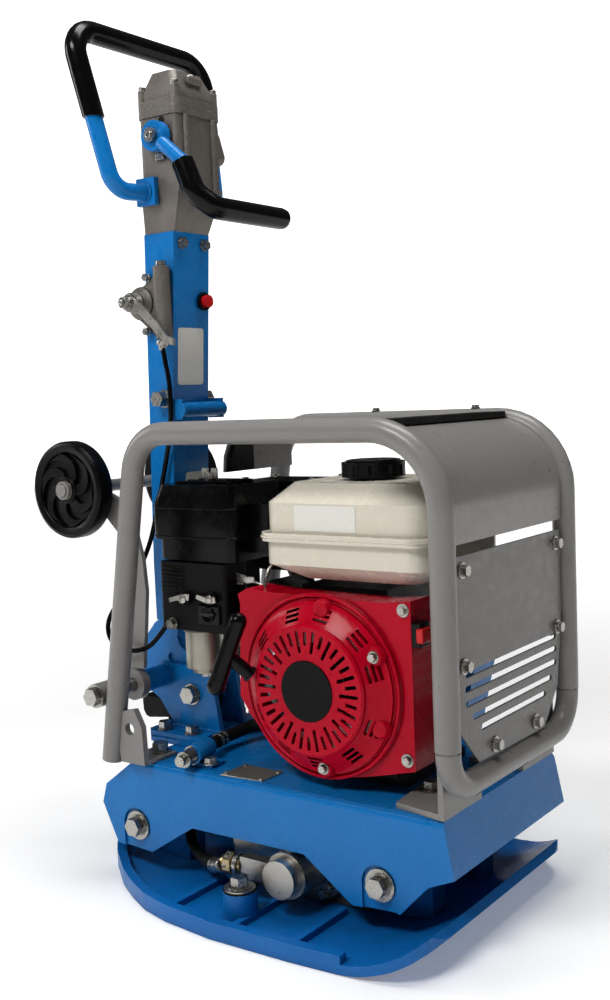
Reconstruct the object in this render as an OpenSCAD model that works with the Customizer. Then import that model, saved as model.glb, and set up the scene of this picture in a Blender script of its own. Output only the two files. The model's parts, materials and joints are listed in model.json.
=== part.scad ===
// Reversible plate compactor with folding control handle and swing-down transport wheels.
// Frame: +X is the machine's forward direction, +Y its left side, +Z up. The origin is the
// centre of the base plate's flat sole. Millimetres.

/* [Base plate] */
// half width of the base plate
plate_hw = 200; // [180:1:220]
// thickness of the base plate casting
plate_t = 10; // [8:0.5:14]
// half length of the flat sole
sole_hl = 150; // [120:5:170]
// radius of the upturned ends
plate_r = 156; // [120:2:200]
// height of the rim above the sole
rim_h = 19; // [14:1:28]

/* [Deck] */
// half width of the sprung deck
deck_hw = 128; // [118:1:135]
// height of the deck's top face
deck_top = 146; // [140:1:152]
// deck sheet thickness
deck_t = 7; // [5:0.5:9]
// radius of the deck's top side edges
deck_edge_r = 8; // [4:1:10]
// distance of the rubber buffers from the middle, along X
buffer_x = 166.5; // [160:0.5:172]
// height of the rubber buffer axes
buffer_z = 67; // [62:0.5:72]
// radius of the rubber buffers
buffer_r = 25; // [20:0.5:26]

/* [Exciter] */
// X of the driven eccentric shaft
ecc_ax = 52; // [48:1:56]
// X of the second eccentric shaft
ecc_bx = -14; // [-20:1:-10]
// height of both eccentric shafts
ecc_z = 54; // [54:0.5:56]
// radius of the eccentric weights
ecc_r = 27; // [22:0.5:29]
// teeth on each timing gear
gear_n = 22; // [22:22]
// radius of the shift cylinder body
shift_r = 25; // [22:0.5:26]

/* [Engine] */
// X of the crankshaft
crank_x = 86; // [80:1:92]
// height of the crankshaft
crank_z = 255.5; // [250:0.5:260]
// radius of the recoil starter's front disc
recoil_r = 69; // [64:0.5:72]
// radial slots in the recoil starter's front disc
recoil_slots = 36; // [24:2:40]
// bottom of the fuel tank
tank_z0 = 363; // [360:1:370]
// top of the fuel tank
tank_z1 = 466; // [460:1:470]
// radius of the fuel cap
cap_r = 34.5; // [30:0.5:36]

/* [Cage] */
// radius of the cage tube
tube_r = 12.7; // [12:0.1:14]
// distance of the cage tube centres from the middle
cage_y = 137.7; // [134:0.1:140]
// height of the top tube's centre
cage_top = 523; // [515:1:530]
// X of the front legs' centres
cage_fx = 254.8; // [250:0.2:258]

/* [Handle] */
// half width of the handle column
col_hw = 32; // [28:0.5:34]
// height of the top of the column
col_top = 757; // [740:1:770]
// height of the guide handle's top bar
guide_z = 987; // [960:1:1000]
// half width of the guide handle
guide_hw = 110; // [100:1:120]
// radius of the guide handle rod
guide_r = 10; // [9:0.25:11]
// radius of the foam grips
grip_r = 12.4; // [12:0.1:14]

/* [Transport wheels] */
// wheel radius
wheel_r = 59; // [54:0.5:62]
// wheel width
wheel_w = 25; // [20:1:28]
// distance of the wheels' outer faces from the middle
wheel_y = 110; // [104:1:112]
// radius of the axle
axle_r = 7.5; // [6:0.25:8]

/* [Hidden] */
$fn = 48;
hx = -163; hz = 200;            // handle pivot
wx = -206; wz = 220;            // wheel frame pivot
ax = -276; az = 456;            // wheel axle
sx = -158; sz = 864;            // reversing lever pivot
blue = [0.12, 0.42, 0.70]; grey = [0.62, 0.62, 0.60]; castc = [0.55, 0.53, 0.50];
red = [0.72, 0.05, 0.10]; white = [0.92, 0.91, 0.86]; black = [0.06, 0.06, 0.07];
zinc = [0.80, 0.80, 0.78]; steel = [0.70, 0.70, 0.70];
// route of the hydraulic hose from the shift cylinder to the control head
hose_pts = [[-20,-130,49],[-40,-127,45],[-62,-118,38],[-84,-108,38],[-106,-98,44],[-123,-84,52],
  [-131,-66,66],[-133,-48,88],[-142,-32,114],[-149,-21,134],[-150,-10,154],[-146,-1,182],[-145,0,206],[-153,0,234],
  [-173,0,262],[-190,0,287],[-194,0,320],[-193,0,380],[-192.5,0,440],[-192,0,500],[-191.5,0,561],
  [-189,0,620],[-184,0,680],[-176,0,730],[-172,0,764]];
// route of the throttle cable from the hand lever to the engine
cable_pts = [[-166.2,-45,621],[-163,-44,600],[-160,-43,578],[-160,-43,546],[-166,-41,514],[-178,-40,474],
  [-191,-41,430],[-200,-46,392],[-208,-56,362],[-217,-68,338],[-227,-82,316],[-232,-92,298],[-229,-96,281],
  [-219,-95,269],[-205,-92,264],[-190,-88,264],[-176,-82,270],[-165,-74,284],[-157,-67,299],[-150.4,-61.5,309]];

// ---- helpers -------------------------------------------------------------
module bx(x0,x1,y0,y1,z0,z1) translate([x0,y0,z0]) cube([x1-x0,y1-y0,z1-z0]);
module cy(x,y0,y1,z,r) translate([x,y0,z]) rotate([-90,0,0]) cylinder(r=r,h=y1-y0);
module cx(x0,x1,y,z,r) translate([x0,y,z]) rotate([0,90,0]) cylinder(r=r,h=x1-x0);
module cz(x,y,z0,z1,r) translate([x,y,z0]) cylinder(r=r,h=z1-z0);
// polygon given as [x,z] points, extruded from y0 to y1
module xz(pts,y0,y1) translate([0,y1,0]) rotate([90,0,0]) linear_extrude(y1-y0) polygon(pts);
function un(v) = v/norm(v);
module rod(a,b,r) { d=b-a; h=norm(d); translate(a) rotate([0,acos(d[2]/h),atan2(d[1],d[0])]) cylinder(r=r,h=h); }
// centre line with rounded corners, as a list of points
function tl(p,i,R) = let(u=un(p[i]-p[i-1]),v=un(p[i+1]-p[i])) R[i]*tan(acos(min(1,max(-1,u*v)))/2);
function corner(a,b,c,R,q) = let(u=un(b-a),v=un(c-b),th=acos(u*v),n=un(v-u*(u*v)),t=R*tan(th/2),o=b-u*t+n*R,k=max(2,ceil(th/q)))
  [for(i=[0:k]) let(w=th*i/k) o-n*R*cos(w)+u*R*sin(w)];
function path(p,R,q=9) = concat([p[0]],[for(i=[1:len(p)-2]) each corner(p[i-1],p[i],p[i+1],R[i],q)],[p[len(p)-1]]);
module bent(p,R,r,ref=[0,1,0],s=20) sweep(path(p,R),r,s,ref);
// hexagon head bolt with washer; the head grows along +Z from z=0
module hex(af,h,wr) { cylinder(r=wr,h=1.6); translate([0,0,1.6]) cylinder(r=af/2/cos(30),h=h,$fn=6); }
// one swept tube through the points, s sides; ref is a direction no run is parallel to
module sweep(p,r,s,ref=[0,1,0]) {
  n=len(p);
  T=[for(i=[0:n-1]) un(p[min(i+1,n-1)]-p[max(i-1,0)])];
  A=[for(t=T) un(ref-t*(ref*t))];
  rr=[for(i=[0:n-1]) is_list(r)?r[i]:r];
  pts=[for(i=[0:n-1]) for(k=[0:s-1]) let(b=cross(T[i],A[i]),q=360*k/s) p[i]+rr[i]*(A[i]*cos(q)+b*sin(q))];
  polyhedron(points=pts,faces=concat([[for(k=[0:s-1]) k]],[[for(k=[s-1:-1:0]) (n-1)*s+k]],
    [for(i=[0:n-2]) for(k=[0:s-1]) [i*s+k,(i+1)*s+k,(i+1)*s+(k+1)%s,i*s+(k+1)%s]]));
}
module rbox(x0,x1,y0,y1,z0,z1,r) {
  bx(x0+r,x1-r,y0,y1,z0,z1); bx(x0,x1,y0+r,y1-r,z0,z1);
  for(x=[x0+r,x1-r],y=[y0+r,y1-r]) cz(x,y,z0,z1,r);
}
module each4(x,y) for(i=[-1,1],j=[-1,1]) translate([i*x,j*y,0]) children();

// ---- base plate ----------------------------------------------------------
plate_out = [[248,-121],[248,112],[243,130],[232,148],[212,164],[180,180],[140,191],[100,196],[0,200],[-68,193],[-107,183],[-140,167],[-175,147],
  [-205,125],[-224,104],[-236,80],[-244,42],[-246,0],[-244,-42],[-236,-80],[-224,-104],[-205,-125],[-175,-147],[-140,-167],[-107,-183],
  [-68,-193],[0,-200],[100,-197],[180,-191],[212,-185],[229,-176],[240,-162],[247,-140]];
module side_band(t) translate([0,260,0]) rotate([90,0,0]) linear_extrude(520) {
  translate([-sole_hl,0]) square([2*sole_hl,t]);
  for(s=[-1,1]) translate([s*sole_hl,plate_r]) intersection() {
    difference(){ circle(r=plate_r,$fn=180); circle(r=plate_r-t,$fn=180); }
    polygon([[0,0],[0,-400],[s*400*tan(39),-400]]);
  }
}
module base_plate() color(blue) {
  difference() {
    union() {
      intersection(){ side_band(plate_t); translate([0,0,-1]) linear_extrude(80) scale([1,plate_hw/200]) polygon(plate_out); }
      // raised rim all round
      intersection(){ side_band(rim_h); bx(-214,160,-220,220,-1,90); translate([0,0,-1]) linear_extrude(90) difference(){
        scale([1,plate_hw/200]) polygon(plate_out); scale([0.955,0.945*plate_hw/200]) polygon(plate_out);} }
      // cast ribs from the middle to the rim
      intersection(){ side_band(rim_h-2); for(s=[-1,1]) { bx(-70,-62,s>0?95:-188,s>0?188:-95,2,40);
        bx(96,104,s>0?95:-190,s>0?190:-95,2,40); bx(20,28,s>0?100:-190,s>0?190:-100,2,40); } }
      cz(10,-158,plate_t-1,40,18.5);
    }
    cz(10,-158,20,41,6);
  }
}
module lug_bolts() color(zinc) translate([10,-158,0]) {
  cz(0,0,22,40.2,5.9); translate([0,0,40.2]) cylinder(r=17,h=3);
  translate([0,0,43.2]) hex(17,10,13);
}
module buffer_posts() color(blue) for(i=[-1,1],j=[-1,1]) difference() {
  union(){ bx(i*buffer_x-26,i*buffer_x+26,j>0?58:-68,j>0?68:-58,8,96);
    bx(i*buffer_x-26,i*buffer_x-20,j>0?40:-60,j>0?60:-40,8,60); bx(i*buffer_x+20,i*buffer_x+26,j>0?40:-60,j>0?60:-40,8,60); }
  cy(i*buffer_x,-90,90,buffer_z,6.5); side_band(plate_t+0.02);
}
module rubber_buffers() color(black) for(i=[-1,1],j=[-1,1]) difference() {
  cy(i*buffer_x,j>0?68:-120.9,j>0?120.9:-68,buffer_z,buffer_r);
  cy(i*buffer_x,-130,130,buffer_z,6.5);
}
module buffer_bolts() color(zinc) for(i=[-1,1],j=[-1,1]) {
  cy(i*buffer_x,j>0?52:-deck_hw+3,j>0?deck_hw-3:-52,buffer_z,6.3);
  translate([i*buffer_x,j*(deck_hw-2.99),buffer_z]) rotate([-90*j,0,0]) { cylinder(r=17,h=2.5); translate([0,0,2.5]) hex(19,9,12.5); }
  translate([i*buffer_x,j*58,buffer_z]) rotate([90*j,0,0]) hex(19,8,13);
}
// ---- exciter -------------------------------------------------------------
module ecc_pair(r,y0,y1) { cy(ecc_ax,y0,y1,ecc_z,r); cy(ecc_bx,y0,y1,ecc_z,r); }
module exciter_housing() color(castc) difference() {
  union() {
    ecc_pair(43.5,-78,78); bx(ecc_bx,ecc_ax,-78,78,ecc_z-43.5,ecc_z+43.5);
    bx(-84,122,-78,78,10.2,22);
    for(y=[-44,0,44]) { bx(-80,ecc_bx-30,y-4,y+4,20,46); bx(ecc_ax+30,118,y-4,y+4,20,46); }
  }
  ecc_pair(38,-79,79); bx(ecc_bx,ecc_ax,-79,79,ecc_z-20,ecc_z+20);
  for(x=[-72,110],y=[-66,66]) cz(x,y,9,24,6.6);
}
module exciter_covers() color(steel) for(j=[-1,1]) difference() {
  union() {
    ecc_pair(43.5,j>0?78:-85,j>0?85:-78); bx(ecc_bx,ecc_ax,j>0?78:-85,j>0?85:-78,ecc_z-43.5,ecc_z+43.5);
    ecc_pair(37.9,j>0?62:-78,j>0?78:-62);
  }
  cy(ecc_ax,-86,86,ecc_z,17); if(j<0) cy(ecc_bx,-79,79,ecc_z,17); else cy(ecc_bx,0,79,ecc_z,17);
  ecc_pair(26,-78,78);
}
module exciter_bearings() color(steel) for(x=[ecc_ax,ecc_bx],j=[-1,1]) difference() {
  cy(x,j>0?63:-77.9,j>0?77.9:-63,ecc_z,25.98); cy(x,-90,90,ecc_z,15.05);
}
module exciter_bolts() color(zinc) {
  for(x=[-72,110],y=[-66,66]) { cz(x,y,11,22,6.4); translate([x,y,22]) hex(17,9,12); }
  for(j=[-1,1],a=[60,120,-60,-120]) translate([(abs(a)<90?ecc_ax:ecc_bx)+(abs(a)<90?34:-34)*abs(cos(a))*1.0,j*85,ecc_z+(a>0?32:-32)])
    rotate([-90*j,0,0]) hex(10,6,7);
}
// spur gear with trapezium teeth, axis along Y
module gear(x,z,y0,y1,n,rp,a0) translate([x,y1,z]) rotate([90,0,0]) linear_extrude(y1-y0) {
  circle(r=rp-3.3,$fn=64);
  for(k=[0:n-1]) rotate(a0+360*k/n) polygon([[rp-4.5,-2.9],[rp,-2.0],[rp+2.3,-1.1],[rp+2.3,1.1],[rp,2.0],[rp-4.5,2.9]]);
}
module ecc_shaft(x,a) {
  cy(x,-76,77,ecc_z,15);
  intersection(){ union(){ cy(x,-58,-14,ecc_z,ecc_r); cy(x,14,58,ecc_z,ecc_r);} translate([x-40,-70,ecc_z-40]) cube([80,140,40]); }
}
module eccentric_a() color(steel) { ecc_shaft(ecc_ax,0); gear(ecc_ax,ecc_z,-10,10,gear_n,33,0);
  cy(ecc_ax,77,140,ecc_z,12); 
  difference(){ cy(ecc_ax,139,161,ecc_z,36); difference(){ cy(ecc_ax,144,156,ecc_z,40); cy(ecc_ax,143,157,ecc_z,28.6);} }
  translate([ecc_ax,161,ecc_z]) rotate([-90,0,0]) hex(19,8,13);
  cy(ecc_ax,-88,-76,ecc_z,12);
}
module eccentric_b() color(steel) { ecc_shaft(ecc_bx,0); gear(ecc_bx,ecc_z,-10,10,gear_n,33,180/gear_n); }
module shift_cylinder() color(steel) difference() {
  union(){ cy(ecc_ax,-132,-85,ecc_z,shift_r); cy(ecc_ax,-146,-132,ecc_z,20.5); bx(ecc_ax-62,ecc_ax,-132,-118,ecc_z-14,ecc_z+9); }
  cy(ecc_ax,-128,-84,ecc_z,16);
  translate([ecc_ax-55,-125,ecc_z-4.5]) rotate([0,0,0]) cylinder(r=0.5,h=0.5);
}
module hose_fittings() color([0.78,0.62,0.30]) {
  cx(-22,-10.1,-126,ecc_z-3,9); translate([-22,-126,ecc_z-3]) rotate([0,-90,0]) cylinder(r=12,h=10,$fn=6);
  rod([-32,-126,51],[-36,-127.5,48.5],8.5);
}
module hydraulic_hose() color(black) sweep([for(i=[1:len(hose_pts)-1]) hose_pts[i]],6.5,12);

// ---- deck ----------------------------------------------------------------
deck_side = [[-165,146],[-214,109.5],[-221,86.5],[-199,41],[-147,38],[-81,79.6],[73.5,80.7],[132.6,39.4],[189.7,42.3],
  [222.7,77],[252.5,90],[240.9,146]];
deck_in = [[-162,139],[-207,105],[-213,86.5],[-213,-20],[260,-20],[233,40],[245,88],[234.5,139]];
module deck() color(blue) difference() {
  intersection() {
    xz(deck_side,-deck_hw,deck_hw);
    union(){ bx(-260,260,-deck_hw,deck_hw,0,deck_top-deck_edge_r); bx(-260,260,-deck_hw+deck_edge_r,deck_hw-deck_edge_r,0,deck_top);
      for(j=[-1,1]) cx(-260,260,j*(deck_hw-deck_edge_r),deck_top-deck_edge_r,deck_edge_r); }
  }
  xz(deck_in,-deck_hw+deck_t,deck_hw-deck_t);
  for(i=[-1,1],j=[-1,1]) { cy(i*buffer_x,j>0?deck_hw-3:-deck_hw-1,j>0?deck_hw+1:-deck_hw+3,buffer_z,21);
    bx(i*buffer_x-21,i*buffer_x+21,j>0?deck_hw-3:-deck_hw-1,j>0?deck_hw+1:-deck_hw+3,30,buffer_z);
    cy(i*buffer_x,-deck_hw-1,deck_hw+1,buffer_z,6.5); }
  // hose passage under the handle bracket
  cz(-150,-12,130,150,16);
}
module data_plate() color(steel) {
  translate([0,0,deck_top]) linear_extrude(1.2) polygon([[-40,-123],[-38,-82],[17,-83],[15,-119]]);
  for(p=[[-36,-118],[-34,-86],[13,-86.5],[11.5,-115.5]]) translate([p[0],p[1],deck_top+1.2]) cylinder(r=2.6,h=1.4,$fn=24);
}
module drain_hose() {
  color(zinc) { rod([-80,-138,161],[-83,-120,161],9); rod([-79,-146,161],[-80,-138,161],6); }
  color(blue) rod([-83,-120,161],[-90,-84,161],11);
  color(black) bent([[-90,-84,161],[-96,-50,161],[-87,-2,166],[-30,14,166],[8,14,166]],[0,40,26,20,0],7.5,[0,0,1],16);
  color(blue) { bx(-100,-62,-112,-88,146,149.9); translate([-68,-106,149.9]) hex(13,6,8.5); }
}
// ---- cage ----------------------------------------------------------------
module side_frame(j) bent([[-190,j*cage_y,146],[-146.5,j*cage_y,410],[-128,j*cage_y,cage_top],[cage_fx,j*cage_y,cage_top],
   [cage_fx,j*cage_y,220]],[0,900,48,78,0],tube_r,[0,1,0],24);
module cage_near() color(grey) side_frame(-1);
module cage_far() color(grey) side_frame(1);
module cage_cross() color(grey) {
  bent([[cage_fx,-cage_y,220],[cage_fx,-cage_y,177.5],[cage_fx,cage_y,177.5],[cage_fx,cage_y,220]],[0,40,40,0],tube_r-0.4,[1,0,0],24);
}
module cage_feet() color(grey) for(j=[-1,1]) {
  // front foot and its gusset
  translate([0,0,deck_top]) linear_extrude(6) polygon([[182,j*116],[242,j*127],[242,j*48],[176,j*48]]);
  translate([236,0,0]) rotate([90,0,90]) linear_extrude(6) polygon([[j*127,150],[j*127,222],[j*120,222],[j*112,192],[j*95,174],[j*66,161],[j*60,150]]);
  // rear foot: vertical plate with a lifting eye, and its base
  difference(){ xz([[-181,203],[-150,210],[-139,190],[-137,146],[-173,146],[-178.5,170]],j>0?133:-141,j>0?141:-133); cy(-158,-160,160,186,7); side_frame(j); }
  translate([0,0,deck_top]) linear_extrude(4) polygon([[-171,j*133],[-136,j*133],[-133,j*90],[-171,j*90]]);
  // sleeve for the wheel frame pivot, on the rear leg
  difference(){ union(){ cy(wx,j>0?117:-145,j>0?145:-117,wz,14); bx(wx,-180,j>0?126:-136,j>0?136:-126,wz-8,wz+8);} cy(wx,-150,150,wz,8.1);
    side_frame(j); }
}
module arc_sheet(r0,r1,y0,y1) translate([cage_fx-78,y1,cage_top-78]) rotate([90,0,0]) linear_extrude(y1-y0)
  intersection(){ difference(){ circle(r=r1,$fn=160); circle(r=r0,$fn=160);} square(200); }
module top_cover() color(grey) difference() { union() {
  arc_sheet(78,80.5,-125.2,125.2); bx(cage_fx,cage_fx+2.5,-124,124,412,cage_top-78);
  bx(165,cage_fx-77.9,-125.2,125.2,cage_top,cage_top+2.5); }
  side_frame(1); side_frame(-1);
}
module front_panel() color(grey) difference() {
  translate([cage_fx+0.2,0,0]) rotate([90,0,90]) linear_extrude(2.5) polygon([[-119,401],[-117,232],[-80,194],[70,191],[106,229],[119,300],[119,401]]);
  for(k=[0:4]) { hw=[104,105,104,91,75][k]; zz=[285.4,271.3,256.7,241.9,227.7][k];
    bx(cage_fx-2,cage_fx+5,-hw+3,hw-3,zz-3,zz+3); for(s=[-1,1]) cx(cage_fx-2,cage_fx+5,s*(hw-3),zz,3); }
}
module frame_bolts() color(zinc) {
  for(j=[-1,1]) {
    for(z=[387.2,294.7]) translate([cage_fx+2.7,j*106.5,z]) rotate([0,90,0]) hex(10,6,8);
    translate([cage_fx+2.7,j*46.8,203.7]) rotate([0,90,0]) hex(10,6,8);
    translate([194,j*66,152]) hex(15,8,12); translate([-152,j*98,150]) hex(17,9,13);
    translate([wx,j*145,wz]) rotate([-90*j,0,0]) hex(19,8,14);
  }
  for(x=[-192,-148],y=[-45,45]) translate([x,y,158]) hex(15,8,10.5);
  for(x=[13,149]) translate([x,cage_y,cage_top+tube_r]) hex(8,2.6,5);
  // tabs that hold the panel, on the inside of the legs
  for(j=[-1,1],z=[387.2,294.7]) bx(cage_fx-4,cage_fx+0.1,j>0?98:-124.9,j>0?124.9:-98,z-9,z+9);
}
module handle_rest() color(grey) difference() {
  union() { bx(-110,-60,-126.5,126.5,514,519);
    translate([-112,0,0]) rotate([90,0,90]) linear_extrude(4) polygon([[-9,471],[-7,490],[0,503],[10,512],[18,519],[124,519],[124,471]]); }
  side_frame(1); side_frame(-1);
}
module rest_pad() color(black) { bx(-66,-26,-110,110,519,523); translate([-108,0,0]) rotate([90,0,90]) linear_extrude(5) polygon([[-5,472],[-3,490],[4,502],[13,509],[19,513.5],[40,513.5],[40,472]]);
  bx(164,193,-124.8,124.8,525.5,532); }

// ---- handle bracket, wheel frame ------------------------------------------
module handle_bracket() color(blue) {
  difference(){ union(){ bx(-215,-120,-62,62,146,152); bx(-212,-124,-59,59,152,158);} cz(-150,-11,140,170,15);
    translate([-216,-63,145]) linear_extrude(20) polygon([[0,0],[16,0],[0,16]]); }
  for(j=[-1,1]) difference(){
    xz([[-197,157],[-197,163],[-208,177],[-217,189],[-230,196],[-249,193],[-244,208],[-232,222],[-219,232],[-213,235],[-147,235],[-130,221.5],[-121,162],[-120,157]],j>0?19:-26,j>0?26:-19);
    cy(hx,-30,30,hz,8.1); cy(wx,-30,30,wz,8.1);
  }
  // stub tubes that carry the wheel frame pivot
  for(j=[-1,1]) difference(){ cy(wx,j>0?26:-71,j>0?71:-26,wz,13.5); cy(wx,-80,80,wz,8.1); }
}
module handle_buffer() color(black) { xz([[-212,163],[-212,186.5],[-255,186.5],[-254,168],[-250,161],[-244,159]],-18.5,18.5); bx(-212,-208,-18.5,18.5,158,176); }
// two stub shafts, one on each side of the handle column
module wheel_pivot() color(steel) for(j=[-1,1]) cy(wx,j>0?19.5:-144.9,j>0?144.9:-19.5,wz,8);
// crescent arm outline in the XZ plane
arm_pts = [[-206,239],[-221,233],[-226,222],[-231,240],[-222,268],[-206,300],[-200,335],[-206,372],[-222,404],[-252,434],[-268,444],
  [-285,448],[-288,462],[-278,470],[-262,466],[-236,452],[-208,440],[-192,405],[-183,372],[-180,335],[-184,295],[-188,262],[-190,240]];
module wheel_frame() color(grey) difference() {
  union() {
    for(j=[-1,1]) { xz(arm_pts,j>0?74:-80,j>0?80:-74); cy(wx,j>0?72.5:-84,j>0?84:-72.5,wz,19); }
    cy(ax,-wheel_y-7,wheel_y+7,az,axle_r);
    for(j=[-1,1]) { cy(ax,j>0?wheel_y+1:-wheel_y-5,j>0?wheel_y+5:-wheel_y-1,az,11); cy(ax,j>0?80:-84.5,j>0?84.5:-80,az,11); }
  }
  cy(wx,-100,100,wz,8.3);
}
module pocket2d() { translate([26,0]) circle(r=5.5); rotate(16) translate([40,0]) circle(r=7);
  polygon([[24.5,5.3],[27.6,-5.2],[42.0,5.6],[35.6,16.9]]); }
module wheel_at(j) {
  y0=j>0?wheel_y-wheel_w:-wheel_y; y1=y0+wheel_w;
  color(black) difference() {
    union() {
      cy(ax,y0+6,y1-6,az,wheel_r);
      translate([ax,y1-6,az]) rotate([-90,0,0]) cylinder(r1=wheel_r,r2=wheel_r-4,h=6);
      translate([ax,y0+6,az]) rotate([90,0,0]) cylinder(r1=wheel_r,r2=wheel_r-4,h=6);
    }
    cy(ax,y0-1,y1+1,az,axle_r+0.08);
    // six curved pockets on each face
    for(s=[-1,1],k=[0:5]) translate([ax,s<0?y0+8:y1-8,az]) rotate([90*-s,0,0]) rotate([0,0,60*k]) linear_extrude(12) pocket2d();
  }
}
module wheel_left() wheel_at(1);
module wheel_right() wheel_at(-1);

// ---- control handle --------------------------------------------------------
module handle_column() color(blue) {
  difference() {
    xz([[-152,col_top],[-166,541],[-181,290],[-210,290],[-210.5,360],[-205,541],[-199,col_top]],-col_hw,col_hw);
    xz([[-156,col_top+1],[-170,541],[-184.5,300],[-206.5,300],[-206.5,360],[-201,541],[-195,col_top+1]],-col_hw+4,col_hw-4);
    cy(-178,-40,40,561,6.2);
    bx(-204,-182,-10,10,280,305);
    translate([-155,20,677]) rotate([0,90,0]) cylinder(r=9.3,h=14,center=true);
  }
  for(j=[-1,1]) difference(){
    xz([[-205,292],[-183,292],[-190,268],[-187,258],[-153,232],[-146,212],[-147,190],[-156,182],[-172,184],[-186,190.5],[-254,216],[-251,245],[-247,255],[-240,267],[-226,283],[-210,292]],j>0?12.5:-18.6,j>0?18.6:-12.5);
    cy(hx,-30,30,hz,8.1); cy(-201,-30,30,241,5.5);
  }
  // rest bar with tabs, in front of the column
  cy(-150,-38.6,38.6,547,9); for(j=[-1,1]) bx(-166,-146,j>0?32:-38,j>0?38:-32,536,560);
}
module column_bolts() color(zinc) {
  cy(-178,-46,46,561,6); for(j=[-1,1]) translate([-178,j*32.2,561]) rotate([-90*j,0,0]) hex(17,14,11);
  // pivot bolt of the handle
  cy(hx,-30,30,hz,8); for(j=[-1,1]) translate([hx,j*26.3,hz]) rotate([-90*j,0,0]) hex(19,9,13);
  for(y=[-18,22]) translate([-152.4,y,744]) rotate([0,90,0]) hex(10,5,7);
}
module control_head() color(castc) difference() {
  union() {
    hull(){ bx(-198,-152,-31,31,757.1,760); bx(-193.5,-133,-39,39,808,809); }
    rbox(-193.5,-133,-39,39,808.5,899,8);
    rbox(-195,-131.5,-40.5,40.5,889,899,9);
    cy(sx,-42,-39,sz,15);
    hull(){ cy(-146,38,51,850,9); cy(-146,38,44,872,8); }
    for(y=[-24,24]) cz(-132.5,y,806,889,4);
  }
  bx(-186,-140,-30,30,790,900);
  cy(sx,-43,26,sz,8.06);
  cz(-172,0,750,792,8);
}
module head_cover() color(castc) difference() {
  union(){
    rbox(-195,-131.5,-40.5,40.5,899.1,908,9);
    hull(){ rbox(-191,-135,-37,37,907,918,9); rbox(-183,-146,-27,27,938,942,8); }
    for(x=[-189,-138],y=[-34,34]) cz(x,y,899.1,921,5);
  }
  bx(-182,-146,-26,26,899,930);
}
gp = [[-181,-40.6,803],[-187,-91,801],[-222,-guide_hw-5,guide_z],[-222,guide_hw+5,guide_z],[-187,91,801],[-181,40.6,803]];
gn = [0.98,0,0.19];
gR = [0,24,32,32,24,0];
module guide_handle() color(blue) {
  bent(gp,gR,guide_r,gn);
  for(j=[-1,1]) bx(-195,-166,j>0?39.1:-46,j>0?46:-39.1,788,820);
}
module guide_grip() color(black) intersection() {
  difference(){ bent(gp,gR,grip_r,gn); bent(gp,gR,guide_r+0.02,gn); }
  bx(-300,-100,-200,200,884,1100);
}
// rack behind the lever's gear; it drives the pump piston up and down
module pump_rack() color(steel) difference() {
  cz(sx-17,0,800,886,7.5);
  bx(sx-10.8,sx-5,-10,10,790,890);
  for(k=[-3:3]) translate([sx-12,0,sz+k*6.283]) rotate([90,0,0]) linear_extrude(24,center=true) polygon([[1.6,-2.5],[-2,-1.3],[-2,1.3],[1.6,2.5]]);
}
lv = path([[-113,-54.5,828],[-99,-51.5,791],[-82,-36,774],[-82,84,774]],[0,30,12,0]);
module reversing_lever() {
  color(blue) { difference(){ cy(sx,-54,-42.4,sz,17.5); cy(sx,-60,-40,sz,7.9);} rod([-146.7,-50.6,854.9],[-112,-54.5,827.5],8); }
  color(black) sweep(concat(lv,[[-82,90,774],[-82,94.5,774],[-82,96.5,774]]),concat([for(i=lv) 13],[12,8.5,3]),24,[0.6,0,0.8]);
  color(zinc) { cy(sx,-54,22,sz,8); cy(sx,-60,-54,sz,8.5); cy(sx,-61,-60,sz,5); }
  color(steel) translate([sx,8,sz]) rotate([90,0,0]) linear_extrude(16) { circle(r=9.9,$fn=64);
    for(k=[0:11]) rotate(30*k) polygon([[9,-2.0],[12,-1.25],[13.2,-0.9],[13.2,0.9],[12,1.25],[9,2.0]]); }
}
module throttle_body() color(castc) {
  // barrel clamped to the near face of the column
  cz(-163,-45,632,716,9.5);
  difference(){ hull(){ bx(-172,-160,-37,-32.1,628,712); cy(-222,-37,-32.1,676,7);} cy(-205,-50,-30,676,5.1); }
  translate([-192,-37,706]) rotate([90,0,0]) hex(8,5,5); translate([-195,-37,642]) rotate([90,0,0]) hex(8,5,5);
  cz(-163,-45,716,722,6); rod([-164,-45,632],[-166,-45,622],5);
}
module throttle_lever() color(steel) {
  cy(-205,-52,-38,676,5); cy(-205,-47,-37.4,676,12); translate([-205,-52,676]) rotate([90,0,0]) hex(10,5,7);
  xz([[-212,684],[-203,688],[-178,668],[-158,648],[-146,634],[-136,630],[-136,622],[-150,626],[-166,642],[-186,660],[-208,666]],-60,-55.5);
  cy(-205,-60,-47,676,9);
}
module throttle_cable() color(black) sweep(cable_pts,3,8);
module stop_button() color(red) { translate([-154.5,20,677]) rotate([0,90,0]) { cylinder(r=7.4,h=9); translate([0,0,-12]) cylinder(r=4,h=12);} }
module button_bezel() color(black) translate([-157.5,20,677]) rotate([0,90,0]) difference(){ union(){ cylinder(r=9.2,h=4); translate([0,0,2]) cylinder(r=11,h=3.5);} translate([0,0,-1]) cylinder(r=7.6,h=10); }

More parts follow.
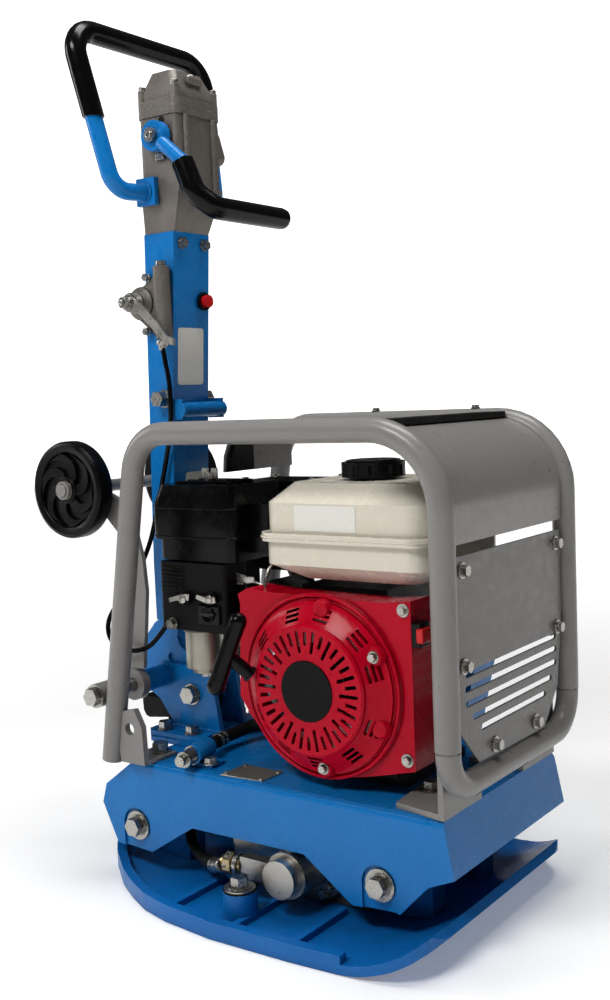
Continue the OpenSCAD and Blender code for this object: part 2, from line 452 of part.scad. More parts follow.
// ---- engine ----------------------------------------------------------------
module engine_block() color([0.20,0.20,0.21]) difference() {
  union(){ bx(22,150,-60,72,154,315); bx(12,160,-56,70,146,156); cy(crank_x,72,100,crank_z,32); bx(30,140,-52,60,314,352); 
    for(x=[20,152],y=[-46,60]) translate([x,y,156]) hex(13,8,10); }
  cy(crank_x,-61,101,crank_z,12.1); cy(crank_x,-50,50,crank_z,44);
}
module engine_cylinder() color([0.25,0.25,0.26]) difference() {
  translate([22,0,250]) rotate([0,25,0]) {
    bx(-62,10,-34,30,12,62);
    for(k=[0:6]) bx(-60+k*8,-56.5+k*8,-42,38,2,72);
    bx(-92,-62,-30,24,8,66); rod([-80,-30,50],[-80,-52,50],6);
  }
  bx(22,152,-61,73,150,315); bx(12,160,-57,71,140,156); bx(30,142,-53,61,310,353);
}
so = [[-20,334],[-23,345],[-10,352],[20,350],[160,348],[196,352],[196,180],[147,168],[123,162.8],[30.4,171],[-12,212],[-25,232]];
module fan_shroud() color(red) difference() {
  union(){ xz(so,-100,-62); translate([crank_x,-100,crank_z]) rotate([90,0,0]) cylinder(r1=98,r2=92,h=5); }
  xz([[-17,332],[-18,342],[-8,348],[22,346],[158,344],[191,347],[191,184],[146,171.5],[123,166.5],[32,174.5],[-9,214],[-21.5,234]],-97,-61);
  cy(crank_x,-110,-90,crank_z,84);
}
module recoil_cover() color(red) { cy(crank_x,-125.5,-103,crank_z,7.95); recoil_dish(); }
module recoil_dish() difference() {
  translate([crank_x,-100,crank_z]) rotate([90,0,0]) rotate_extrude($fn=144) polygon([[91,5.1],[84,5.1],[80,5.1],[66.5,22],[66.5,25],[0,25],[0,28],[recoil_r-2,28],[recoil_r,26],[recoil_r,22],[87,9],[91,8]]);
  for(k=[0:recoil_slots-1]) translate([crank_x,-120,crank_z]) rotate([90,0,0]) rotate([0,0,360*k/recoil_slots]) translate([k%2==0?40:48,-2,0]) cube([k%2==0?23:14,4,12]);
  // slots in the cone, in rows of three
  for(r=[73.5,78.5,83.5],a=[18,45,80,108,145,205,238,270,305,335]) translate([crank_x,-100,crank_z]) rotate([0,-a,0]) translate([r-1.5,-30,-9]) cube([3,27,18]);
}
module crankshaft() color(steel) {
  cy(crank_x,-92,172,crank_z,12);
  cy(crank_x,-96,-82,crank_z,70); for(k=[0:11]) translate([crank_x,-96,crank_z]) rotate([0,30*k,0]) bx(40,66,-2,2,0,3);
  cy(crank_x,-24,-14,crank_z,34); cy(crank_x,14,24,crank_z,34);
  intersection(){ translate([crank_x,147,crank_z]) rotate([-90,0,0]) difference(){ cylinder(r=27,h=10); } bx(0,200,140,160,0,400); }
}
module starter_pulley() color([0.3,0.3,0.3]) difference(){ union(){ cy(crank_x,-122,-103,crank_z,46); } cy(crank_x,-123,-102,crank_z,8); difference(){ cy(crank_x,-116,-109,crank_z,50); cy(crank_x,-117,-108,crank_z,38);} }
ga = [16,-131,266]; gb = [-1,-150,290];
module pull_grip() color(black) { u=un(gb-ga); rod(ga,gb,7.5); rod(ga+u*0.6,ga+u*3,9); 
  a=gb+[-10,-7,-34]; b=gb+[14,5,36]; v=un(b-a);
  sweep([a-v*8.5,a-v*6.5,a-v*3,a,a+v*20,b-v*20,b,b+v*3,b+v*6.5,b+v*8.5],[4,7,9,9.8,9,9,9.8,9,7,4],20,[0,1,0]); }
module fuel_tank() {
  color(white) difference(){ union(){
    hull(){ rbox(12,212,-97,70,414,446,22); rbox(34,192,-78,52,464,466,20); }
    rbox(5,218,-104,76,405,414,24);
    hull(){ rbox(10,213,-98,71,380,405,22); rbox(38,188,-72,46,363,364,20); } }
    cz(106,-18,430,480,26); }
  color(black) difference(){ cz(106,-18,440,468.5,25.9); cz(106,-18,442,470,22); }
}
module fuel_cap() color(black) { difference(){ cz(106,-18,469,485,cap_r); for(k=[0:11]) translate([106,-18,471]) rotate([0,0,30*k]) translate([cap_r+2.2,0,0]) cylinder(r=4.5,h=11,$fn=24); } 
  cz(106,-18,485,487,cap_r-5); difference(){ cz(106,-18,455,469,21.9); cz(106,-18,454,466,18);} }
module air_cleaner() {
  color(black) { hull(){ rbox(-156,-34,-91,14,400,440,12); rbox(-150,-40,-84,8,460,462,10);} rbox(-150,-38,-86,10,376,400,10);
    for(y=[-60,-40,-20]) bx(-140,-60,y-2,y+2,461,465); rbox(-46,-6,-60,0,385,440,8); }
  color(zinc) { cz(-106,-40,462,474,3); for(s=[-1,1]) translate([-106+s*7,-40,474]) cube([8,3,9],center=true); cz(-106,-40,466,473,6);}
}
module control_box() color(black) {
  rbox(-146,-46,-92,-52,296,374,6); rbox(-134,-62,-52,-6,300,372,6); 
  rod([-104,-93,334],[-104,-98,334],8); bx(-128,-104,-98,-95,330,338); rod([-65,-93,336],[-65,-97,336],7); bx(-86,-65,-97,-94,333,340);
  cz(-109,-60,248,296,22); cz(-109,-60,242,248,15); translate([-126,-93,303]) rotate([90,0,0]) hex(10,6,7);
}
module muffler() color(steel) difference() {
  union(){ rbox(-124,-8,24,112,352,452,18); cx(-8,30,60,330,12); rod([-60,60,352],[-30,40,326],13); bx(-120,-12,34,104,452,458); cy(-96,112,124,430,11); }
  for(k=[0:8]) bx(-112+k*11,-106+k*11,40,98,455,460);
  cy(-96,100,130,430,8.5);
}
module clutch_drum() color(steel) difference(){
  cy(crank_x,139,161,crank_z,46); cy(crank_x,138,162,crank_z,12.08); cy(crank_x,146,158,crank_z,28); 
  difference(){ cy(crank_x,144,156,crank_z,50); cy(crank_x,143,157,crank_z,37.6);} }
module loop2(r1,r2) hull() { translate([crank_x,crank_z]) circle(r=r1,$fn=72); translate([ecc_ax,ecc_z]) circle(r=r2,$fn=72); }
module v_belt() color(black) translate([0,155,0]) rotate([90,0,0]) linear_extrude(10) difference(){ loop2(46.5,37.5); loop2(38.2,29.2); }
module belt_guard() color(blue) { for(x=[44,102]) cy(x,128,131.5,112,9); guard_cup(); }
module guard_cup() difference() {
  translate([0,184,0]) rotate([90,0,0]) linear_extrude(184-131) loop2(60,48);
  translate([0,181,0]) rotate([90,0,0]) linear_extrude(181-134) loop2(57,45);
  cy(crank_x,125,135,crank_z,34); cy(ecc_ax,125,140,ecc_z,22);
  bx(-20,160,120,190,0,20);
}

base_plate();
lug_bolts();
buffer_posts();
rubber_buffers();
buffer_bolts();
exciter_housing();
exciter_covers();
exciter_bearings();
exciter_bolts();
eccentric_a();
eccentric_b();
shift_cylinder();
hose_fittings();
hydraulic_hose();
deck();
data_plate();
drain_hose();
cage_near();
cage_far();
cage_cross();
cage_feet();
top_cover();
front_panel();
frame_bolts();
handle_rest();
rest_pad();
handle_bracket();
handle_buffer();
wheel_pivot();
wheel_frame();
wheel_left();
wheel_right();
handle_column();
column_bolts();
control_head();
head_cover();
guide_handle();
guide_grip();
pump_rack();
reversing_lever();
throttle_body();
throttle_lever();
throttle_cable();
stop_button();
button_bezel();
engine_block();
engine_cylinder();
fan_shroud();
recoil_cover();
crankshaft();
starter_pulley();
pull_grip();
fuel_tank();
fuel_cap();
air_cleaner();
control_box();
muffler();
clutch_drum();
v_belt();
belt_guard();
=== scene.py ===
import bpy, bmesh, math, json
from mathutils import Vector, Matrix

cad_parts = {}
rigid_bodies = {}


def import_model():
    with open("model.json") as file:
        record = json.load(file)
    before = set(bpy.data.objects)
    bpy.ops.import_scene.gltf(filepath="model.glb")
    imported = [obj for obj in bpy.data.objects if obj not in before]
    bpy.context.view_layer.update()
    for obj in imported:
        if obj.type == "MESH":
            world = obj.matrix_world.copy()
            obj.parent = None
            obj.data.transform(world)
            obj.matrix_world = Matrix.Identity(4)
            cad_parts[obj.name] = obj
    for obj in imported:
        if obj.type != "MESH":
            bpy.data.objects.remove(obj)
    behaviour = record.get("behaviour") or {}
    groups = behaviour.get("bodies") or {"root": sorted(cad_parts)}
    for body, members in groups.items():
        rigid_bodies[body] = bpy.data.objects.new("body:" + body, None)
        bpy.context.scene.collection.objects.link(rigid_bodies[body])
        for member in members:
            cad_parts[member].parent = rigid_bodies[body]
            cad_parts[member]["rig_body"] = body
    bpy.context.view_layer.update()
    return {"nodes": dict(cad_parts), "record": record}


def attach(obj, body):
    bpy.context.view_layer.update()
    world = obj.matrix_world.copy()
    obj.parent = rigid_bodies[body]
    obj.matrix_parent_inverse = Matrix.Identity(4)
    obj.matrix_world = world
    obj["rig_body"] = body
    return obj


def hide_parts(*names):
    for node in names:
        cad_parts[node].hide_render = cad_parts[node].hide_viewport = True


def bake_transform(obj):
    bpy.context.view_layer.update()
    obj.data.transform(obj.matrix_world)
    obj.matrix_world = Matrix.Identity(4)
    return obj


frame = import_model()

N = frame["nodes"]
SLOT = {s["node"]: s["material_slot"] for s in frame["record"]["subparts"]}
scene = bpy.context.scene
COL = scene.collection

# ------------------------------------------------------------------ camera
cam_data = bpy.data.cameras.new("cam")
cam_data.sensor_width = 36.0
cam_data.sensor_height = 36.0
cam_data.sensor_fit = 'AUTO'
cam_data.lens = 42.252
cam_data.clip_start = 0.05
cam_data.clip_end = 50.0
cam = bpy.data.objects.new("cam", cam_data)
COL.objects.link(cam)
yaw, pit, rol = math.radians(36.063), math.radians(4.945), math.radians(-2.264)
fwd = Vector((-math.sin(yaw) * math.cos(pit), math.cos(yaw) * math.cos(pit), -math.sin(pit)))
r0 = Vector((math.cos(yaw), math.sin(yaw), 0.0))
u0 = r0.cross(fwd)
R = math.cos(rol) * r0 + math.sin(rol) * u0
U = -math.sin(rol) * r0 + math.cos(rol) * u0
cam.matrix_world = Matrix(((R.x, U.x, -fwd.x, 0.78715), (R.y, U.y, -fwd.y, -1.08041), (R.z, U.z, -fwd.z, 0.55499), (0, 0, 0, 1)))
scene.camera = cam

# ------------------------------------------------------------------ materials
def lin(h):
    out = []
    for i in (1, 3, 5):
        c = int(h[i:i + 2], 16) / 255.0
        out.append(c / 12.92 if c <= 0.04045 else ((c + 0.055) / 1.055) ** 2.4)
    return (*out, 1.0)

MATS = {}
def surface(name, base, alt=None, rough=0.35, rvar=0.08, metal=0.0, coat=0.0, coat_rough=0.06, grain=900.0, gbump=0.08, gdist=0.0004,
            broad=9.0, waves=0.0, wear=0.0, wear_col="#9c9a94", wear_rad=0.0014, crevice_shade=0.35, stretch=None, spec=0.28, mottle=0.5, cells=0.0, cscale=300.0):
    """Painted, cast, plated, rubber and plastic finishes from one node tree with its own numbers."""
    m = bpy.data.materials.new(name)
    m.use_nodes = True
    nt = m.node_tree
    nt.nodes.clear()
    nd = lambda t, **k: [setattr(n, a, v) for n in [nt.nodes.new(t)] for a, v in k.items()] and nt.nodes[-1] or nt.nodes[-1]
    L = nt.links.new
    out = nt.nodes.new("ShaderNodeOutputMaterial")
    b = nt.nodes.new("ShaderNodeBsdfPrincipled")
    L(b.outputs[0], out.inputs[0])
    tc = nt.nodes.new("ShaderNodeTexCoord")
    co = tc.outputs["Object"]
    if stretch:
        mp = nt.nodes.new("ShaderNodeMapping")
        mp.inputs["Scale"].default_value = stretch
        L(co, mp.inputs["Vector"])
        gco = mp.outputs["Vector"]
    else:
        gco = co
    n1 = nt.nodes.new("ShaderNodeTexNoise"); n1.inputs["Scale"].default_value = broad; n1.inputs["Detail"].default_value = 5.0
    n1.inputs["Roughness"].default_value = 0.6
    L(co, n1.inputs["Vector"])
    n2 = nt.nodes.new("ShaderNodeTexNoise"); n2.inputs["Scale"].default_value = grain; n2.inputs["Detail"].default_value = 3.0
    L(gco, n2.inputs["Vector"])
    n3 = nt.nodes.new("ShaderNodeTexNoise"); n3.inputs["Scale"].default_value = broad * 9; n3.inputs["Detail"].default_value = 6.0
    L(co, n3.inputs["Vector"])
    base_l, alt_l = lin(base), lin(alt or base)
    mr = nt.nodes.new("ShaderNodeMapRange"); mr.inputs["From Min"].default_value = 0.35; mr.inputs["From Max"].default_value = 0.68
    mr.inputs["To Max"].default_value = mottle
    L(n1.outputs["Fac"], mr.inputs["Value"])
    mix = nt.nodes.new("ShaderNodeMix"); mix.data_type = 'RGBA'
    mix.inputs["A"].default_value = base_l; mix.inputs["B"].default_value = alt_l
    L(mr.outputs[0], mix.inputs["Factor"])
    colour = mix.outputs["Result"]
    if wear > 0:
        bv = nt.nodes.new("ShaderNodeBevel"); bv.samples = 3; bv.inputs["Radius"].default_value = wear_rad
        ge = nt.nodes.new("ShaderNodeNewGeometry")
        dt = nt.nodes.new("ShaderNodeVectorMath"); dt.operation = 'DOT_PRODUCT'
        L(bv.outputs[0], dt.inputs[0]); L(ge.outputs["Normal"], dt.inputs[1])
        wm = nt.nodes.new("ShaderNodeMapRange"); wm.inputs["From Min"].default_value = 0.985; wm.inputs["From Max"].default_value = 0.86
        L(dt.outputs["Value"], wm.inputs["Value"])
        wn = nt.nodes.new("ShaderNodeMapRange"); wn.inputs["From Min"].default_value = 0.46; wn.inputs["From Max"].default_value = 0.62
        wn.inputs["To Max"].default_value = wear
        L(n3.outputs["Fac"], wn.inputs["Value"])
        wx = nt.nodes.new("ShaderNodeMath"); wx.operation = 'MULTIPLY'
        L(wm.outputs[0], wx.inputs[0]); L(wn.outputs[0], wx.inputs[1])
        m2 = nt.nodes.new("ShaderNodeMix"); m2.data_type = 'RGBA'; m2.inputs["B"].default_value = lin(wear_col)
        L(wx.outputs[0], m2.inputs["Factor"]); L(colour, m2.inputs["A"])
        colour = m2.outputs["Result"]
    # painted shade: the colour is darkened wherever the ambient-occlusion node finds surfaces within 12 mm, in
    # crevices, recesses and between parts
    if crevice_shade > 0:
        ao = nt.nodes.new("ShaderNodeAmbientOcclusion"); ao.samples = 4; ao.inputs["Distance"].default_value = 0.012
        am = nt.nodes.new("ShaderNodeMapRange"); am.inputs["From Min"].default_value = 0.25; am.inputs["From Max"].default_value = 0.85
        am.inputs["To Min"].default_value = 1.0 - crevice_shade; am.inputs["To Max"].default_value = 1.0
        L(ao.outputs["AO"], am.inputs["Value"])
        hv = nt.nodes.new("ShaderNodeHueSaturation")
        L(am.outputs[0], hv.inputs["Value"]); L(colour, hv.inputs["Color"])
        colour = hv.outputs["Color"]
    L(colour, b.inputs["Base Color"])
    rm = nt.nodes.new("ShaderNodeMapRange"); rm.inputs["From Min"].default_value = 0.3; rm.inputs["From Max"].default_value = 0.7
    rm.inputs["To Min"].default_value = max(0.03, rough - rvar); rm.inputs["To Max"].default_value = rough + rvar
    L(n3.outputs["Fac"], rm.inputs["Value"])
    L(rm.outputs[0], b.inputs["Roughness"])
    b.inputs["Metallic"].default_value = metal
    b.inputs["Specular IOR Level"].default_value = spec
    b.inputs["Coat Weight"].default_value = coat
    b.inputs["Coat Roughness"].default_value = coat_rough
    bp = nt.nodes.new("ShaderNodeBump"); bp.inputs["Strength"].default_value = gbump; bp.inputs["Distance"].default_value = gdist
    L(n2.outputs["Fac"], bp.inputs["Height"])
    last = bp
    if waves > 0:
        b2 = nt.nodes.new("ShaderNodeBump"); b2.inputs["Strength"].default_value = waves; b2.inputs["Distance"].default_value = 0.002
        L(n3.outputs["Fac"], b2.inputs["Height"]); L(bp.outputs[0], b2.inputs["Normal"])
        last = b2
    if cells > 0:
        vo = nt.nodes.new("ShaderNodeTexVoronoi"); vo.inputs["Scale"].default_value = cscale
        L(gco, vo.inputs["Vector"])
        b3 = nt.nodes.new("ShaderNodeBump"); b3.inputs["Strength"].default_value = cells; b3.inputs["Distance"].default_value = 0.0008
        L(vo.outputs["Distance"], b3.inputs["Height"]); L(last.outputs[0], b3.inputs["Normal"])
        last = b3
    L(last.outputs[0], b.inputs["Normal"])
    MATS[name] = m
    return m

surface("blue_paint", "#0a6cb2", "#0b74bc", rough=0.30, spec=0.2, coat=0.08, coat_rough=0.12, grain=520, gbump=0.10, waves=0.05, wear=0.30, wear_col="#5f95c6", crevice_shade=0.45)
surface("plate_blue", "#0a66b0", "#085ca2", rough=0.36, spec=0.2, coat=0.08, coat_rough=0.18, grain=260, gbump=0.30, waves=0.20, wear=0.45, wear_col="#6fa0cc", crevice_shade=0.55, mottle=0.8)
surface("grey_paint", "#7e7c79", "#767472", rough=0.34, coat=0.15, coat_rough=0.15, grain=600, gbump=0.10, waves=0.04, wear=0.25, wear_col="#c9c7c1", crevice_shade=0.4)
surface("red_paint", "#b00220", "#a0011c", rough=0.24, spec=0.07, coat=0.05, coat_rough=0.06, grain=700, gbump=0.05, waves=0.03, wear=0.18, wear_col="#d8596a", crevice_shade=0.5)
surface("white_paint", "#d2cbbc", "#c9c2b1", rough=0.24, coat=0.35, coat_rough=0.07, grain=500, gbump=0.05, waves=0.03, wear=0.0, crevice_shade=0.35)
surface("black_enamel", "#1a1a1b", "#232221", rough=0.5, grain=700, gbump=0.2, wear=0.2, wear_col="#5a5753", crevice_shade=0.2)
surface("zinc_fastener", "#aeaca6", "#96938a", rough=0.30, rvar=0.12, metal=1.0, grain=1500, gbump=0.15, broad=60, crevice_shade=0.5)
surface("raw_steel", "#b3b0a9", "#a09c93", rough=0.36, rvar=0.12, metal=1.0, grain=900, gbump=0.15, broad=40, stretch=(1, 0.08, 1), crevice_shade=0.45)
surface("yellow_zinc", "#c2b08a", "#a8935f", rough=0.30, rvar=0.1, metal=1.0, grain=1200, gbump=0.1, broad=60, crevice_shade=0.5)
surface("cast_metal", "#76716b", "#65605a", rough=0.50, rvar=0.12, metal=0.55, grain=420, gbump=0.65, gdist=0.0007, broad=20, wear=0.45, wear_col="#c4beb4", crevice_shade=0.5, mottle=0.9)
surface("dark_cast", "#2c2b2b", "#232222", rough=0.5, metal=0.3, grain=500, gbump=0.5, wear=0.3, wear_col="#57544f", crevice_shade=0.3)
surface("black_rubber", "#070707", "#0b0b0b", rough=0.62, spec=0.18, grain=700, gbump=0.4, crevice_shade=0.2)
surface("black_grip", "#040405", "#060607", rough=0.22, rvar=0.06, spec=0.16, coat=0.04, coat_rough=0.1, grain=300, gbump=0.12, waves=0.05, crevice_shade=0.1)
surface("black_plastic", "#040405", "#070708", rough=0.24, spec=0.15, rvar=0.07, grain=900, gbump=0.10, waves=0.02, wear=0.2, wear_col="#3a3a3c", crevice_shade=0.2)
surface("matt_plastic", "#060607", "#09090a", rough=0.44, spec=0.12, rvar=0.08, grain=1100, gbump=0.35, wear=0.2, wear_col="#3c3c3d", crevice_shade=0.2)
surface("red_plastic", "#c3181b", "#b81517", rough=0.22, grain=800, gbump=0.05, crevice_shade=0.2)
surface("label_film", "#dcdad2", "#d4d2ca", rough=0.30, rvar=0.05, coat=0.3, grain=300, gbump=0.04, crevice_shade=0.1)
surface("gloss_black", "#040405", "#060607", rough=0.2, rvar=0.03, spec=0.10, coat=0.0, coat_rough=0.05, grain=400, gbump=0.03, crevice_shade=0.0)
surface("wheel_plastic", "#050506", "#080809", rough=0.34, spec=0.13, rvar=0.08, grain=900, gbump=0.25, wear=0.25, wear_col="#2c2c2d", crevice_shade=0.3)
surface("cover_grey", "#8b8885", "#83807d", rough=0.34, metal=0.25, coat=0.10, coat_rough=0.12, grain=700, gbump=0.06, waves=0.03, wear=0.2, wear_col="#b3b1ac", crevice_shade=0.35)
surface("panel_grey", "#6a6866", "#62605e", rough=0.32, metal=0.35, coat=0.10, coat_rough=0.12, grain=700, gbump=0.06, waves=0.03, wear=0.2, wear_col="#a3a19c", crevice_shade=0.35)
surface("dull_steel", "#6f685c", "#574f42", rough=0.45, metal=0.85, grain=900, gbump=0.3, broad=40, crevice_shade=0.5)
surface("bowl_zinc", "#9c988d", "#8b867b", rough=0.35, metal=0.8, grain=700, gbump=0.2, crevice_shade=0.4)
surface("plate_alu", "#b9b4a9", "#a9a499", rough=0.33, metal=0.9, grain=1200, gbump=0.2, stretch=(0.05, 1, 1), crevice_shade=0.3)

# ------------------------------------------------------------------ CAD nodes: finish and softened edges
BEV = {"base_plate": 2.5, "deck": 1.2, "fan_shroud": 2.0, "fuel_tank": 2.5, "air_cleaner": 1.5, "control_box": 1.2, "muffler": 1.2, "control_head": 1.6,
       "head_cover": 2.0, "recoil_cover": 0.7, "fuel_cap": 1.0, "wheel_left": 0.8, "wheel_right": 0.8, "front_panel": 0.4, "top_cover": 0.4,
       "cage_near": 0, "cage_far": 0, "cage_cross": 0, "guide_handle": 0.8, "guide_grip": 0.5, "hydraulic_hose": 0, "throttle_cable": 0, "v_belt": 0.5,
       "data_plate": 0.2, "exciter_housing": 1.2, "belt_guard": 1.0, "handle_bracket": 1.0, "wheel_frame": 0.8}
EXTRA = {"base_plate": "plate_blue", "buffer_posts": "plate_blue", "control_box": "matt_plastic", "data_plate": "plate_alu", "wheel_left": "matt_plastic", "wheel_right": "matt_plastic",
         "handle_rest": "panel_grey", "front_panel": "panel_grey", "top_cover": "cover_grey"}
for name, o in N.items():
    m = MATS[EXTRA.get(name, SLOT[name])]
    o.data.materials.clear()
    o.data.materials.append(m)
    for p in o.data.polygons:
        p.material_index = 0
        p.use_smooth = True
    w = o.modifiers.new("weld", 'WELD'); w.merge_threshold = 0.00002
    bw = BEV.get(name, 0.5)
    if bw > 0:
        bv = o.modifiers.new("bevel", 'BEVEL')
        bv.width = bw / 1000.0; bv.segments = 2; bv.limit_method = 'ANGLE'; bv.angle_limit = math.radians(32); bv.miter_outer = 'MITER_ARC' if bw > 1 else 'MITER_SHARP'
    wn = o.modifiers.new("wn", 'WEIGHTED_NORMAL'); wn.keep_sharp = False; wn.weight = 60

def recolour(node, mat, test):
    o = N[node]
    if mat.name not in [s.name for s in o.data.materials]:
        o.data.materials.append(mat)
    k = [s.name for s in o.data.materials].index(mat.name)
    for p in o.data.polygons:
        c = p.center * 1000
        if test(c, p.normal):
            p.material_index = k

# ------------------------------------------------------------------ mesh helpers, all in millimetres
def finish(name, bm, mat, body, bevel=0.0, segs=2, smooth=True, sub=0):
    me = bpy.data.meshes.new(name)
    bmesh.ops.recalc_face_normals(bm, faces=bm.faces)
    for v in bm.verts:
        v.co *= 0.001
    bm.to_mesh(me); bm.free()
    me.materials.append(MATS[mat] if isinstance(mat, str) else mat)
    for p in me.polygons:
        p.use_smooth = smooth
    o = bpy.data.objects.new(name, me)
    COL.objects.link(o)
    if bevel > 0:
        b = o.modifiers.new("bevel", 'BEVEL'); b.width = bevel / 1000; b.segments = segs; b.limit_method = 'ANGLE'; b.angle_limit = math.radians(32)
    if sub:
        s = o.modifiers.new("sub", 'SUBSURF'); s.levels = sub; s.render_levels = sub
    if smooth:
        w = o.modifiers.new("wn", 'WEIGHTED_NORMAL'); w.keep_sharp = False; w.weight = 60
    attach(o, body)
    return o

def frames(pts, closed=False):
    pts = [Vector(p) for p in pts]
    n = len(pts)
    T = []
    for i in range(n):
        a = pts[(i - 1) % n] if (closed or i > 0) else pts[i]
        b = pts[(i + 1) % n] if (closed or i < n - 1) else pts[i]
        T.append((b - a).normalized())
    ref = Vector((0, 0, 1)) if abs(T[0].z) < 0.9 else Vector((1, 0, 0))
    A = [(ref - T[0] * ref.dot(T[0])).normalized()]
    for i in range(1, n):
        a = A[-1] - T[i] * A[-1].dot(T[i])
        A.append(a.normalized())
    return pts, T, A

def add_tube(bm, pts, r, sides=20, closed=False, cap=True, rfun=None):
    pts, T, A = frames(pts, closed)
    rings = []
    for i, p in enumerate(pts):
        B = T[i].cross(A[i])
        rr = rfun(i, len(pts)) if rfun else (r[i] if isinstance(r, (list, tuple)) else r)
        rings.append([bm.verts.new(p + rr * (A[i] * math.cos(2 * math.pi * k / sides) + B * math.sin(2 * math.pi * k / sides))) for k in range(sides)])
    m = len(rings)
    for i in range(m if closed else m - 1):
        a, b = rings[i], rings[(i + 1) % m]
        for k in range(sides):
            bm.faces.new((a[k], a[(k + 1) % sides], b[(k + 1) % sides], b[k]))
    if cap and not closed:
        bm.faces.new(rings[0][::-1]); bm.faces.new(rings[-1])

def smooth_path(ctrl, n=10):
    """Catmull-Rom through control points."""
    P = [Vector(p) for p in ctrl]
    P = [2 * P[0] - P[1]] + P + [2 * P[-1] - P[-2]]
    out = []
    for i in range(1, len(P) - 2):
        for k in range(n):
            t = k / n
            a, b, c, d = P[i - 1], P[i], P[i + 1], P[i + 2]
            out.append(0.5 * ((2 * b) + (c - a) * t + (2 * a - 5 * b + 4 * c - d) * t * t + (3 * b - a - 3 * c + d) * t ** 3))
    out.append(P[-2])
    return out

def tube(name, pts, r, mat, body, sides=20, curve=0, closed=False, rfun=None, cap=True):
    bm = bmesh.new()
    add_tube(bm, smooth_path(pts, curve) if curve else pts, r, sides, closed, cap, rfun)
    return finish(name, bm, mat, body)

def axis_mat(p, d):
    d = Vector(d).normalized()
    q = Vector((0, 0, 1)).rotation_difference(d)
    return Matrix.Translation(Vector(p)) @ q.to_matrix().to_4x4()

def add_lathe(bm, p, d, prof, sides=48, spin=0.0):
    """prof: (radius, height) along d from p."""
    M = axis_mat(p, d)
    rings = []
    for r, h in prof:
        if r <= 1e-6:
            rings.append([bm.verts.new(M @ Vector((0, 0, h)))])
        else:
            rings.append([bm.verts.new(M @ Vector((r * math.cos(2 * math.pi * k / sides + spin), r * math.sin(2 * math.pi * k / sides + spin), h))) for k in range(sides)])
    for a, b in zip(rings, rings[1:]):
        if len(a) == 1 and len(b) == 1:
            continue
        for k in range(sides):
            k2 = (k + 1) % sides
            if len(a) == 1:
                bm.faces.new((a[0], b[k2], b[k]))
            elif len(b) == 1:
                bm.faces.new((a[k], a[k2], b[0]))
            else:
                bm.faces.new((a[k], a[k2], b[k2], b[k]))
    if len(rings[0]) > 1:
        bm.faces.new(rings[0][::-1])
    if len(rings[-1]) > 1:
        bm.faces.new(rings[-1])

def lathe(name, p, d, prof, mat, body, sides=48, bevel=0.0):
    bm = bmesh.new(); add_lathe(bm, p, d, prof, sides)
    return finish(name, bm, mat, body, bevel)

def add_box(bm, lo, hi, M=None):
    vs = [bm.verts.new(Vector((x, y, z)) if M is None else M @ Vector((x, y, z))) for x in (lo[0], hi[0]) for y in (lo[1], hi[1]) for z in (lo[2], hi[2])]
    for f in ((0, 1, 3, 2), (4, 6, 7, 5), (0, 4, 5, 1), (2, 3, 7, 6), (0, 2, 6, 4), (1, 5, 7, 3)):
        bm.faces.new([vs[i] for i in f])

def box(name, lo, hi, mat, body, bevel=1.0, M=None, segs=3):
    bm = bmesh.new(); add_box(bm, lo, hi, M)
    return finish(name, bm, mat, body, bevel, segs)

def add_bolt(bm, p, d, af=13, h=7, washer=12, wt=1.8, spin=0.3, spring=True, socket=False):
    """Hexagon head with chamfered top, spring washer and flat washer, seated on p and pointing along d."""
    add_lathe(bm, p, d, [(washer * 0.98, 0), (washer, 0.3), (washer, wt - 0.3), (washer * 0.97, wt)], 40)
    base = wt
    P = Vector(p) + Vector(d).normalized() * base
    if spring:
        add_lathe(bm, P, d, [(af * 0.60, 0), (af * 0.62, 0.3), (af * 0.62, 2.0), (af * 0.60, 2.3)], 36)
        P = P + Vector(d).normalized() * 2.3
    rc = af / 2 / math.cos(math.pi / 6)
    if socket:
        add_lathe(bm, P, d, [(rc * 0.9, 0), (rc * 0.92, 0.3), (rc * 0.92, h - 0.6), (rc * 0.86, h), (rc * 0.52, h), (rc * 0.5, h - 3.5), (0, h - 3.5)], 40)
    else:
        M = axis_mat(P, d)
        low, mid, top = [], [], []
        for k in range(24):
            a = 2 * math.pi * k / 24 + spin
            hexr = (af / 2) / math.cos(((a - spin + math.pi / 6) % (math.pi / 3)) - math.pi / 6)
            low.append(bm.verts.new(M @ Vector((hexr * math.cos(a), hexr * math.sin(a), 0))))
            hz = h - max(0.0, (hexr - af / 2)) * 0.75
            mid.append(bm.verts.new(M @ Vector((hexr * math.cos(a), hexr * math.sin(a), hz))))
            top.append(bm.verts.new(M @ Vector((af * 0.47 * math.cos(a), af * 0.47 * math.sin(a), h))))
        for k in range(24):
            k2 = (k + 1) % 24
            bm.faces.new((low[k], low[k2], mid[k2], mid[k])); bm.faces.new((mid[k], mid[k2], top[k2], top[k]))
        bm.faces.new(top); bm.faces.new(low[::-1])

def bolt(name, p, d, body, mat="zinc_fastener", **k):
    bm = bmesh.new(); add_bolt(bm, p, d, **k)
    return finish(name, bm, mat, body, 0.25, 1)

